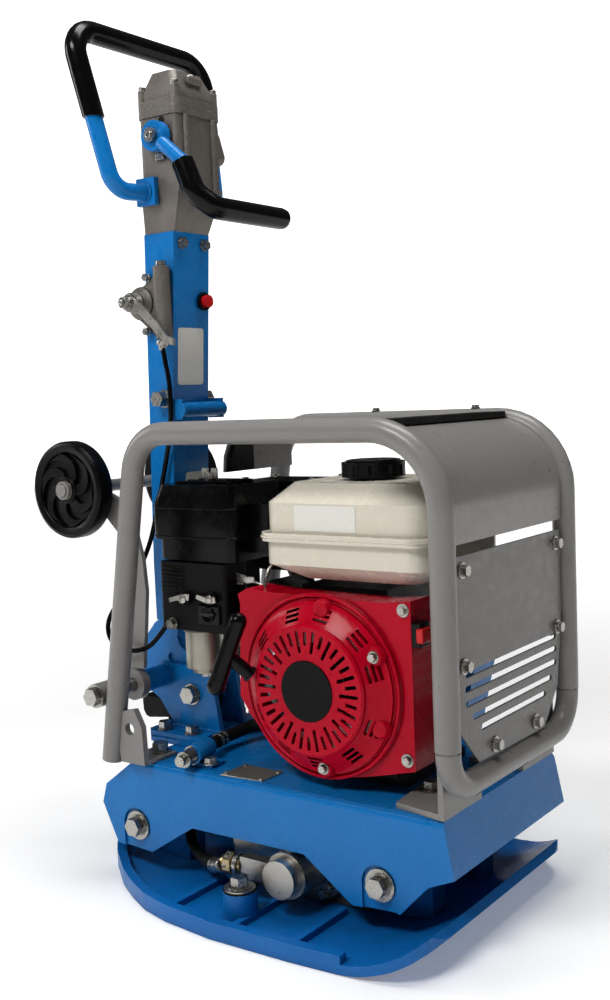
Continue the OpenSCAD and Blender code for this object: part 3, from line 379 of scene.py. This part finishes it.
# ------------------------------------------------------------------ floor and light
bm = bmesh.new()
S = 8.0
vs = [bm.verts.new((x, y, -0.0005)) for x, y in ((-S, -S), (S, -S), (S, S), (-S, S))]
bm.faces.new(vs)
me = bpy.data.meshes.new("floor"); bm.to_mesh(me); bm.free()
floor = bpy.data.objects.new("floor", me); COL.objects.link(floor)
fm = bpy.data.materials.new("floor_mat"); fm.use_nodes = True
fb = fm.node_tree.nodes["Principled BSDF"]
fn = fm.node_tree.nodes.new("ShaderNodeTexNoise"); fn.inputs["Scale"].default_value = 3.0
fr = fm.node_tree.nodes.new("ShaderNodeMapRange"); fr.inputs["To Min"].default_value = 0.78; fr.inputs["To Max"].default_value = 0.9
fm.node_tree.links.new(fn.outputs["Fac"], fr.inputs["Value"]); fm.node_tree.links.new(fr.outputs[0], fb.inputs["Roughness"])
fb.inputs["Base Color"].default_value = (0.93, 0.93, 0.93, 1)
# painted light: the floor glows, from 0.20 within 0.9 m of the origin up to 0.93 beyond 2.6 m, so it is dimmer round
# the machine and white further off
fb.inputs["Emission Color"].default_value = (1, 1, 1, 1)
ftc = fm.node_tree.nodes.new("ShaderNodeTexCoord")
fln = fm.node_tree.nodes.new("ShaderNodeVectorMath"); fln.operation = 'LENGTH'
fm.node_tree.links.new(ftc.outputs["Object"], fln.inputs[0])
fmr = fm.node_tree.nodes.new("ShaderNodeMapRange")
fmr.inputs["From Min"].default_value = 0.9; fmr.inputs["From Max"].default_value = 2.6
fmr.inputs["To Min"].default_value = 0.20; fmr.inputs["To Max"].default_value = 0.93
fm.node_tree.links.new(fln.outputs["Value"], fmr.inputs["Value"])
fm.node_tree.links.new(fmr.outputs[0], fb.inputs["Emission Strength"])
me.materials.append(fm)
world = bpy.data.worlds.new("w"); scene.world = world; world.use_nodes = True
world.node_tree.nodes["Background"].inputs[0].default_value = (1, 1, 1, 1)
world.node_tree.nodes["Background"].inputs[1].default_value = 0.08
# plain white backdrop all round the machine, which adds no light of its own
bm = bmesh.new()
lo = [bm.verts.new((7.3 * math.cos(math.radians(5 * k)), 7.3 * math.sin(math.radians(5 * k)), -0.4)) for k in range(72)]
hi = [bm.verts.new((7.3 * math.cos(math.radians(5 * k)), 7.3 * math.sin(math.radians(5 * k)), 8.0)) for k in range(72)]
for k in range(72):
    bm.faces.new((lo[k], lo[(k + 1) % 72], hi[(k + 1) % 72], hi[k]))
bm.faces.new(hi)
me = bpy.data.meshes.new("backdrop"); bm.to_mesh(me); bm.free()
wall = bpy.data.objects.new("backdrop", me); COL.objects.link(wall)
wall.visible_diffuse = False
wall.visible_glossy = False
wall.visible_shadow = False
wm_ = bpy.data.materials.new("backdrop_mat"); wm_.use_nodes = True
wb = wm_.node_tree.nodes["Principled BSDF"]
wb.inputs["Base Color"].default_value = (0.9, 0.9, 0.9, 1)
wb.inputs["Emission Color"].default_value = (1, 1, 1, 1)
wb.inputs["Emission Strength"].default_value = 0.95
me.materials.append(wm_)
def area(name, loc, aim, size, power, sy=None):
    l = bpy.data.lights.new(name, 'AREA'); l.energy = power; l.size = size
    if sy: l.shape = 'RECTANGLE'; l.size_y = sy
    o = bpy.data.objects.new(name, l); COL.objects.link(o)
    o.location = loc
    o.rotation_euler = (Vector(aim) - Vector(loc)).to_track_quat('-Z', 'Y').to_euler()
    return o
area("key", (-0.1, -1.9, 2.3), (0, 0, 0.4), 1.0, 38, 0.5)
area("top", (0.2, 0.1, 2.4), (0, 0, 0.3), 0.7, 33, 1.2)
area("side", (-2.2, -0.9, 1.3), (0.0, 0, 0.4), 0.5, 14, 1.2)
scene.view_settings.view_transform = 'Standard'
scene.view_settings.look = 'None'

# ------------------------------------------------------------------ finishes inside one CAD node
near = lambda c, x, z, r: (c.x - x) ** 2 + (c.z - z) ** 2 < r * r
nearxy = lambda c, x, y, r: (c.x - x) ** 2 + (c.y - y) ** 2 < r * r
recolour("reversing_lever", MATS["black_grip"], lambda c, n: (c.x > -125 and c.z < 829.5 and c.x - 0.9 * (c.z - 829) > -114) or c.y > 20)
recolour("reversing_lever", MATS["zinc_fastener"], lambda c, n: near(c, -158, 864, 8.7) and c.y < 25)
recolour("reversing_lever", MATS["raw_steel"], lambda c, n: near(c, -158, 864, 15) and -8.5 < c.y < 8.5)
recolour("control_box", MATS["bowl_zinc"], lambda c, n: c.z < 295.9)
recolour("control_box", MATS["zinc_fastener"], lambda c, n: c.y < -93.1 and near(c, -126, 303, 9))
recolour("air_cleaner", MATS["zinc_fastener"], lambda c, n: nearxy(c, -106, -40, 12.5) and c.z > 465.3)
recolour("fuel_tank", MATS["black_plastic"], lambda c, n: nearxy(c, 106, -18, 26.4) and c.z > 439)
recolour("throttle_body", MATS["zinc_fastener"], lambda c, n: (c.y < -37.2 and (near(c, -192, 706, 6) or near(c, -195, 642, 6))) or c.z > 716.2 or c.z < 631.9)
recolour("drain_hose", MATS["zinc_fastener"], lambda c, n: c.y < -119.6 or nearxy(c, -68, -106, 9.2))
recolour("drain_hose", MATS["blue_paint"], lambda c, n: (-119.7 < c.y < -83.5 and c.x < -72 and c.z > 150.2) or (c.z < 150 and c.x < -60 and not (nearxy(c, -68, -106, 9.2) and c.z > 149.8)))
recolour("frame_bolts", MATS["grey_paint"], lambda c, n: 250.4 < c.x < 255.2 and abs(c.y) > 97.5)

# ------------------------------------------------------------------ engine
lathe("emblem_disc", (86, -128.02, 255.5), (0, -1, 0), [(32, 0), (32, 0.7), (31.4, 1.1), (30.2, 0.8), (0, 0.8)], "gloss_black", "chassis", 96)
for i, (x, z, full) in enumerate(((165.2, 298.5, 1), (96.5, 339.0, 0), (165.0, 221.8, 0), (93.7, 177.5, 1))):
    dx, dz = x - 86, z - 255.5
    k = 84.0 / math.hypot(dx, dz)
    x, z = 86 + dx * k, 255.5 + dz * k
    lathe("recoil_boss_%d" % i, (x, -105, z), (0, -1, 0), [(11.5, 0), (10.5, 5), (8.6, 8.6), (8.0, 9.2), (0, 9.2)], "red_paint", "chassis", 40, 0.6)
    if full:
        bolt("recoil_bolt_%d" % i, (x, -114.2, z), (0, -1, 0), "chassis", af=8, h=4.4, washer=6.4, wt=1.0, spring=False, spin=0.4 + i)
    else:
        # black cup on each boss that has no bolt, standing in for its empty screw hole: painted shade
        lathe("recoil_hole_%d" % i, (x, -114.15, z), (0, -1, 0), [(2.8, 0), (2.8, 0.2), (2.2, -0.9), (0, -0.9)], "black_rubber", "chassis", 24)
for i, (x, z) in enumerate(((187.5, 342.5), (187.5, 190.5))):
    bolt("shroud_bolt_%d" % i, (x, -100, z), (0, -1, 0), "chassis", af=8, h=4.5, washer=7, wt=1.1, spring=False, spin=0.7 * i)
# pressed rib round the recoil opening
tube("shroud_ring", [(86 + 96.2 * math.cos(a * math.pi / 48), -104.2, 255.5 + 96.2 * math.sin(a * math.pi / 48)) for a in range(96)], 2.2, "red_paint", "chassis", 12, closed=True)
box("switch_case", (196.3, -101, 306), (207, -82, 331), "black_plastic", "chassis", 1.6)
box("switch_knob", (203, -103.5, 311), (211.5, -86, 326), "red_plastic", "chassis", 2.2)
# fins cast into the recoil dish, between the slots
bm = bmesh.new()
for k in range(36):
    a = math.radians(10 * k + 5)
    c, s = math.cos(a), math.sin(a)
    for r0_, r1_ in ((65.2, 67.8),):
        add_lathe(bm, (86 + 66.5 * c, -127.6, 255.5 + 66.5 * s), (0, -1, 0), [(1.0, 0), (0.9, 0.6), (0.5, 0.85), (0, 0.9)], 10)
finish("recoil_beads", bm, "red_paint", "chassis")
# tank: label place, seam weld line, small cleats
box("tank_label", (56, -97.45, 417), (133, -96.9, 444), "label_film", "chassis", 0.18, segs=1)
loop = []
for cx_, cy_, a0 in ((194, 52, 0), (29, 52, 90), (29, -80, 180), (194, -80, 270)):
    for t in range(0, 91, 10):
        a = math.radians(a0 + t)
        loop.append((cx_ + 24.6 * math.cos(a), cy_ + 24.6 * math.sin(a), 409.5))
tube("tank_seam", [(min(217.6, max(5.4, p[0])), min(75.6, max(-103.6, p[1])), p[2]) for p in loop], 1.1, "white_paint", "chassis", 8, closed=True)
tube("tank_strap", [(8, -55, 381), (2, -72, 372), (0, -80, 352), (2, -78, 330)], 2.0, "zinc_fastener", "chassis", 10, curve=6)
# fuel cap: rib ring and centre cap
lathe("cap_top", (106, -18, 486.6), (0, 0, 1), [(27.5, 0), (27.2, 0.8), (25.5, 1.0), (24.5, 0.35), (8, 0.3), (7.4, 0.9), (0, 1.0)], "black_plastic", "cap", 72)
# air cleaner: clamp boss and two seam bands
lathe("filter_boss", (-106, -40, 461.8), (0, 0, 1), [(19, 0), (18, 2.6), (10, 4.0), (8.4, 4.6), (0, 4.6)], "black_plastic", "chassis", 48)
lp = []
for cx_, cy_, a0 in ((-46, 2, 0), (-144, 2, 90), (-144, -79, 180), (-46, -79, 270)):
    for t in range(0, 91, 15):
        a = math.radians(a0 + t)
        lp.append((cx_ + 12.0 * math.cos(a), cy_ + 12.0 * math.sin(a), 403.0))
tube("filter_band", lp, 1.5, "black_plastic", "chassis", 10, closed=True)
tube("filter_band_top", [(p[0], p[1], 436) for p in lp], 0.8, "black_plastic", "chassis", 8, closed=True)
def blade(name, pts, w, y0, t, mat, body):
    """Flat cranked lever in the XZ plane."""
    bm = bmesh.new()
    P = [Vector((p[0], p[1])) for p in pts]
    L, Rr = [], []
    for i, p in enumerate(P):
        d = (P[min(i + 1, len(P) - 1)] - P[max(i - 1, 0)]).normalized()
        nrm = Vector((-d.y, d.x))
        ww = w[i] if isinstance(w, (list, tuple)) else w
        L.append(p + nrm * ww / 2); Rr.append(p - nrm * ww / 2)
    ring = L + Rr[::-1]
    a = [bm.verts.new((q.x, y0, q.y)) for q in ring]
    b = [bm.verts.new((q.x, y0 + t, q.y)) for q in ring]
    bm.faces.new(a); bm.faces.new(b[::-1])
    for i in range(len(ring)):
        j = (i + 1) % len(ring)
        bm.faces.new((a[j], a[i], b[i], b[j]))
    return finish(name, bm, mat, body, min(t, 2.0) * 0.3)
# flat ribs on the carburettor cover, the fuel valve's housing and its knob
bm = bmesh.new()
for k in range(6):
    add_box(bm, (-140, -93.6, 343.2 + k * 4.6), (-108, -91.0, 345.8 + k * 4.6))
finish("cover_ribs", bm, "black_plastic", "chassis", 0.6)
box("valve_housing", (-87, -95.2, 306), (-55, -91.2, 328), "black_plastic", "chassis", 1.4)
lathe("valve_knob", (-71, -95.0, 317.5), (0, -1, 0), [(9.2, 0), (9.0, 1.6), (7.6, 2.2), (7.2, 1.2), (0, 1.2)], "gloss_black", "chassis", 48)
blade("valve_tab", [(-82, 318.5), (-72, 317.5), (-61, 318.5)], [2.4, 4.2, 2.4], -98.2, 2.0, "dark_cast", "chassis")
# carburettor controls: two cranked levers and their pivots, the bowl ring, drain screw, a spring, the governor rod and
# arm
blade("choke_lever", [(-124, 331), (-116, 333.5), (-100, 336.5), (-94, 336)], [5, 5, 7, 8], -101, 2.6, "raw_steel", "chassis")
blade("fuel_lever", [(-84, 338), (-76, 336), (-66, 334), (-56, 336)], [5, 6, 7, 7], -100, 2.4, "raw_steel", "chassis")
lathe("choke_pivot", (-104, -98, 334), (0, -1, 0), [(6, 0), (5.6, 3.2), (4.6, 4.0), (0, 4.0)], "zinc_fastener", "chassis", 24)
lathe("fuel_pivot", (-65, -97, 336), (0, -1, 0), [(5.4, 0), (5.0, 3.4), (4, 4.2), (0, 4.2)], "zinc_fastener", "chassis", 24)
lathe("carb_ring", (-109, -60, 292), (0, 0, 1), [(24, 0), (24, 2.5), (22.5, 3.6), (0, 3.6)], "cast_metal", "chassis", 48)
bolt("carb_drain", (-109, -60, 242), (0, 0, -1), "chassis", af=10, h=5, washer=7, wt=1, spring=False)
bm = bmesh.new()
sp = [(-50 + 14 * t / 60.0 * 1.0 + 0, -70 + 2.6 * math.cos(t * 1.2), 352 + 2.6 * math.sin(t * 1.2)) for t in range(61)]
add_tube(bm, sp, 0.55, 8)
finish("governor_spring", bm, "zinc_fastener", "chassis")
tube("governor_rod", [(-36, -70, 352), (-22, -72, 354), (-8, -70, 350), (2, -66, 344)], 1.3, "zinc_fastener", "chassis", 8, curve=6)
blade("governor_arm", [(-60, 362), (-46, 360), (-30, 356), (-20, 357)], [9, 8, 8, 6], -74, 2.0, "zinc_fastener", "chassis")
# muffler guard: bracket screws
for i, (x, y) in enumerate(((-116, 38), (-16, 38), (-116, 100), (-16, 100))):
    bolt("guard_screw_%d" % i, (x, y, 458), (0, 0, 1), "chassis", af=7, h=3, washer=5.5, wt=0.8, spring=False, spin=i)

# ------------------------------------------------------------------ column: bare label places, throttle details
def front_x(z):
    return -166 + (z - 541) * 14 / 216.0 if z > 541 else -181 + (z - 290) * 15 / 251.0
def label(name, y0, y1, z0, z1):
    bm = bmesh.new()
    c = 4.0
    out = []
    for cy_, cz_, a0 in ((y1 - c, z1 - c, 0), (y0 + c, z1 - c, 90), (y0 + c, z0 + c, 180), (y1 - c, z0 + c, 270)):
        for t in (0, 30, 60, 90):
            a = math.radians(a0 + t)
            out.append((cy_ + c * math.cos(a), cz_ + c * math.sin(a)))
    A = [bm.verts.new((front_x(z) + 0.35, y, z)) for y, z in out]
    B = [bm.verts.new((front_x(z) - 0.3, y, z)) for y, z in out]
    bm.faces.new(A); bm.faces.new(B[::-1])
    for i in range(len(out)):
        j = (i + 1) % len(out)
        bm.faces.new((A[j], A[i], B[i], B[j]))
    return finish(name, bm, "label_film", "handle", smooth=False)
label("label_upper", -24, 22, 577, 645)
label("label_lower", -10, 27, 424, 471)
bolt("throttle_pivot_nut", (-205, -60.2, 676), (0, -1, 0), "throttle", af=13, h=6, washer=9.5, wt=1.2, spin=0.5)
lathe("throttle_stud", (-205, -68, 676), (0, -1, 0), [(4, 0), (4, 4.4), (3.3, 5.2), (2.2, 5.2), (2.0, 4.0), (0, 4.0)], "zinc_fastener", "throttle", 24)
lathe("throttle_boss", (-205, -37.1, 676), (0, -1, 0), [(20, 0), (19, 2.0), (15, 3.2), (14.4, 5.5), (12.6, 6.3), (0, 6.3)], "cast_metal", "handle", 48)
lathe("cable_nut", (-165.3, -45, 629.5), (-0.2, 0, -1), [(7.5, 0), (7.7, 0.5), (7.7, 5), (7.3, 5.6), (4.2, 5.8), (4.0, 11), (0, 11)], "zinc_fastener", "handle", 6)
bm = bmesh.new()
for k in range(3):
    add_tube(bm, [(-163, -45 , 640 + k * 30), (-163, -45, 644 + k * 30)], 9.9, 28)
finish("barrel_rings", bm, "cast_metal", "handle", 0.5)
# weld fillets: rest bar, column lugs
def ring_bead(name, p, d, r, t, mat, body, sides=48):
    M = axis_mat(p, d)
    pts = [M @ Vector((r * math.cos(2 * math.pi * k / sides), r * math.sin(2 * math.pi * k / sides), 0.25 * math.sin(k * 2.7))) for k in range(sides)]
    return tube(name, [tuple(q) for q in pts], t, mat, body, 8, closed=True, rfun=lambda i, n: t * (1 + 0.18 * math.sin(i * 2.3) + 0.1 * math.sin(i * 5.1)))
for j in (-1, 1):
    ring_bead("rest_bar_weld_%s" % ("r" if j < 0 else "l"), (-150, j * 38.2, 547), (0, j, 0), 8.8, 0.55, "blue_paint", "handle")
    ring_bead("loop_weld_%s" % ("r" if j < 0 else "l"), (-181.6, j * 46.3, 802.8), (-0.11, j, -0.04), 10.3, 1.3, "blue_paint", "handle")

# ------------------------------------------------------------------ control head
lathe("head_vent", (-156, -39.02, 883.6), (0, -1, 0), [(4.3, 0), (4.2, 0.35), (3.3, 0.45), (2.9, -0.6), (0, -0.6)], "black_rubber", "handle", 32)
for i, (x, y) in enumerate(((-189, -34), (-138, -34), (-189, 34), (-138, 34))):
    bolt("cover_screw_%d" % i, (x, y, 921), (0, 0, 1), "handle", af=8, h=5, washer=5.4, wt=0.8, spring=False, socket=True, spin=i)
box("cover_clamp", (-150, -14, 926), (-134, 12, 935), "cast_metal", "handle", 2.5)
lathe("cover_plug", (-142, -1, 934), (0, 0, 1), [(6.5, 0), (6.2, 3.2), (5.2, 4.2), (3, 4.4), (2.8, 2.5), (0, 2.5)], "zinc_fastener", "handle", 36)
lathe("lever_screw_recess", (-158, -61, 864), (0, -1, 0), [(4.6, 0), (4.4, 0.7), (2.9, 0.8), (2.7, -1.6), (0, -1.6)], "zinc_fastener", "lever", 30)
lathe("lever_spacer", (-158, -42.45, 864), (0, 1, 0), [(12.5, -0.2), (12.5, 0.3), (0, 0.3)], "zinc_fastener", "lever", 40)
box("head_flat", (-166, -42.6, 838), (-152, -38.6, 846), "zinc_fastener", "handle", 1.0)

# ------------------------------------------------------------------ wheels
def wheel(side):
    j = -1 if side == "r" else 1
    y0 = 85.0 * j
    bm = bmesh.new()
    prof = [(7.7, 0.6), (14.8, 0.5), (16, 1.5), (16.8, 7), (44.2, 7), (45.6, 2.6), (47.2, 1.4), (53.5, 0.5), (57.3, 2.4), (58.8, 5.6), (58.9, 12.5), (58.8, 19.4), (57.3, 22.6), (53.5, 24.5),
            (47.2, 23.4), (45.6, 22.0), (44.2, 17.5), (16.8, 17.5), (16, 23.4), (14.8, 24.4), (7.7, 24.4)]
    add_lathe(bm, (-276, y0, 456), (0, j, 0), prof, 96)
    M = axis_mat((-276, y0, 456), (0, j, 0))
    for face, (h0, h1) in enumerate(((17.2, 22.3), (7.3, 2.3))):
        for k in range(6):
            rows = []
            for i in range(13):
                t = i / 12.0
                r = 15.5 + 29.6 * t
                mid = math.radians(60 * k + 58 * t * t * (1 if j < 0 else -1) * (1 if face == 0 else 1))
                half = math.radians(24 - 5 * math.sin(math.pi * t) - 4 * t)
                hh = h1 + (h0 - h1) * (0.16 * math.sin(math.pi * t))
                rows.append([bm.verts.new(M @ Vector((r * math.cos(mid + s * half), r * math.sin(mid + s * half), h))) for s, h in ((-1, h0), (-0.86, hh), (0.86, hh), (1, h0))])
            for a, b in zip(rows, rows[1:]):
                for q in range(3):
                    bm.faces.new((a[q], a[q + 1], b[q + 1], b[q]))
            bm.faces.new(rows[0]); bm.faces.new(rows[-1][::-1])
    o = finish("wheel_%s_moulding" % side, bm, "wheel_plastic", "wheel_" + side, 0.5, 2)
    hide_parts("wheel_right" if side == "r" else "wheel_left")
    lathe("hub_ring_%s" % side, (-276, 85.0 * j + 24.2 * j, 456), (0, j, 0), [(11.6, 0), (11.4, 1.1), (9.4, 1.3), (9.2, 0.3), (0, 0.3)], "dull_steel", "wheel_" + side, 48)
wheel("r"); wheel("l")
for j, s in ((-1, "r"), (1, "l")):
    lathe("axle_nut_%s" % s, (-276, 114.6 * j, 456), (0, j, 0), [(7.9, 0), (8.1, 0.5), (7.8, 1.9), (5.0, 2.2), (4.6, 2.3), (0, 2.35)], "dull_steel", "wheel_swing", 48)

# ------------------------------------------------------------------ hose and cable, built as free tubes apart from the rigid bodies in place of the CAD nodes
HOSE = [(-40, -127, 45), (-62, -118, 38), (-84, -108, 38), (-106, -98, 44), (-123, -84, 52), (-131, -66, 66), (-133, -48, 88), (-142, -32, 114), (-149, -21, 134), (-150, -10, 154), (-146, -1, 182),
        (-145, 0, 206), (-153, 0, 234), (-173, 0, 262), (-190, 0, 287), (-194, 0, 320), (-193, 0, 380), (-192.5, 0, 440), (-192, 0, 500), (-191.5, 0, 561), (-189, 0, 620), (-184, 0, 680), (-176, 0, 730), (-172, 0, 763)]
CABLE = [(-166.2, -45, 621), (-163, -44, 600), (-160, -43, 578), (-160, -43, 546), (-166, -41, 514), (-178, -40, 474), (-191, -41, 430), (-200, -46, 392), (-208, -56, 362), (-217, -68, 338), (-227, -82, 316),
         (-232, -92, 298), (-229, -96, 281), (-219, -95, 269), (-205, -92, 264), (-190, -88, 264), (-176, -82, 270), (-165, -74, 284), (-157, -67, 299), (-150.4, -61.5, 309)]
def soft_tube(name, ctrl, r, mat, node, n, sides):
    bm = bmesh.new()
    add_tube(bm, smooth_path(ctrl, n), r, sides)
    o = finish(name, bm, mat, "chassis")
    w = o.matrix_world.copy()
    o.parent = None
    o.matrix_world = w
    if "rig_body" in o:
        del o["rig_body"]
    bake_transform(o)
    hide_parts(node)
    return o
soft_tube("hose_run", HOSE, 6.45, "black_rubber", "hydraulic_hose", 8, 20)
soft_tube("cable_run", CABLE, 2.95, "black_plastic", "throttle_cable", 8, 12)
tube("hose_ferrule", [(-37.5, -127.6, 46.9), (-46, -124.8, 43.0), (-55, -121, 40.2), (-61, -118.4, 38.9)], 8.2, "zinc_fastener", "chassis", 24, curve=4, rfun=lambda i, n: 8.3 if (i % 4) else 7.7)
tube("hose_sleeve", [(-61, -118.4, 38.9), (-70, -114.2, 37.9), (-78, -110.6, 37.8)], 7.5, "black_rubber", "chassis", 24, curve=5)
for i, (x, w_, r) in enumerate(((-13.5, 5, 11.4), (-27, 4, 10.4))):
    lathe("fitting_collar_%d" % i, (x, -126, 51), (-1, 0, 0), [(r, 0), (r + 0.3, 0.5), (r + 0.3, w_ - 0.5), (r, w_), (0, w_)], "zinc_fastener", "chassis", 40)
bolt("cylinder_bleed", (52, -121, 78.6), (0, 0, 1), "chassis", af=9, h=4, washer=6.6, wt=1.2, spring=False)
lathe("cylinder_lip", (52, -145.6, 54), (0, -1, 0), [(20.5, 0), (20.5, 0.3), (19.4, 0.38), (0, 0.38)], "raw_steel", "chassis", 72)
for i, (x, z) in enumerate(((29, 31), (75, 31), (75, 77), (29, 77))):
    bolt("flange_screw_%d" % i, (x, -85.05, z), (0, -1, 0), "chassis", af=9, h=6, washer=7.5, wt=1.2, spring=False, socket=True, spin=i * 0.6)

# ------------------------------------------------------------------ deck and drain
def seam(name, a, b, r, mat, body, n=150):
    a, b = Vector(a), Vector(b)
    pts = [tuple(a.lerp(b, i / n) + Vector((0, 0.18 * math.sin(i * 1.9), 0.18 * math.cos(i * 2.6)))) for i in range(n + 1)]
    return tube(name, pts, r, mat, body, 8, rfun=lambda i, m: r * (1 + 0.22 * math.sin(i * 2.1) + 0.12 * math.sin(i * 4.7)))
for j, s in ((-1, "r"), (1, "l")):
    seam("deck_weld_" + s, (-160, j * 125.6, 143.6), (236, j * 125.6, 143.6), 1.0, "blue_paint", "chassis")
    seam("bracket_weld_" + s, (-211, j * 26.6, 158.4), (-122, j * 26.6, 158.4), 1.5, "blue_paint", "chassis", 50)
    seam("foot_weld_" + s, (-172, j * 132.6, 150.2), (-138, j * 132.6, 150.2), 1.2, "grey_paint", "chassis", 24)
    ring_bead("wheel_boss_weld_" + s, (-206, j * 26.4, 220), (0, j, 0), 13.9, 1.3, "blue_paint", "chassis")
for i, (p, d) in enumerate((((-93.6, -64, 161), (-0.1, 1, 0)), ((-95, -54, 161), (0.0, 1, 0)))):
    lathe("drain_clamp_%d" % i, p, d, [(8.2, 0), (8.5, 0.4), (8.5, 4.2), (8.2, 4.6), (0, 4.6)], "zinc_fastener", "chassis", 40)
lathe("pad_washer", (10, -158, 40.2), (0, 0, 1), [(18.3, 0), (18.3, 1.2), (17.4, 1.6), (0, 1.6)], "black_rubber", "chassis", 48)
# rubber strip lip of the panel cover
seam("strip_lip", (192.6, -123.2, 526.4), (192.6, 123.2, 526.4), 1.6, "black_rubber", "chassis", 120)
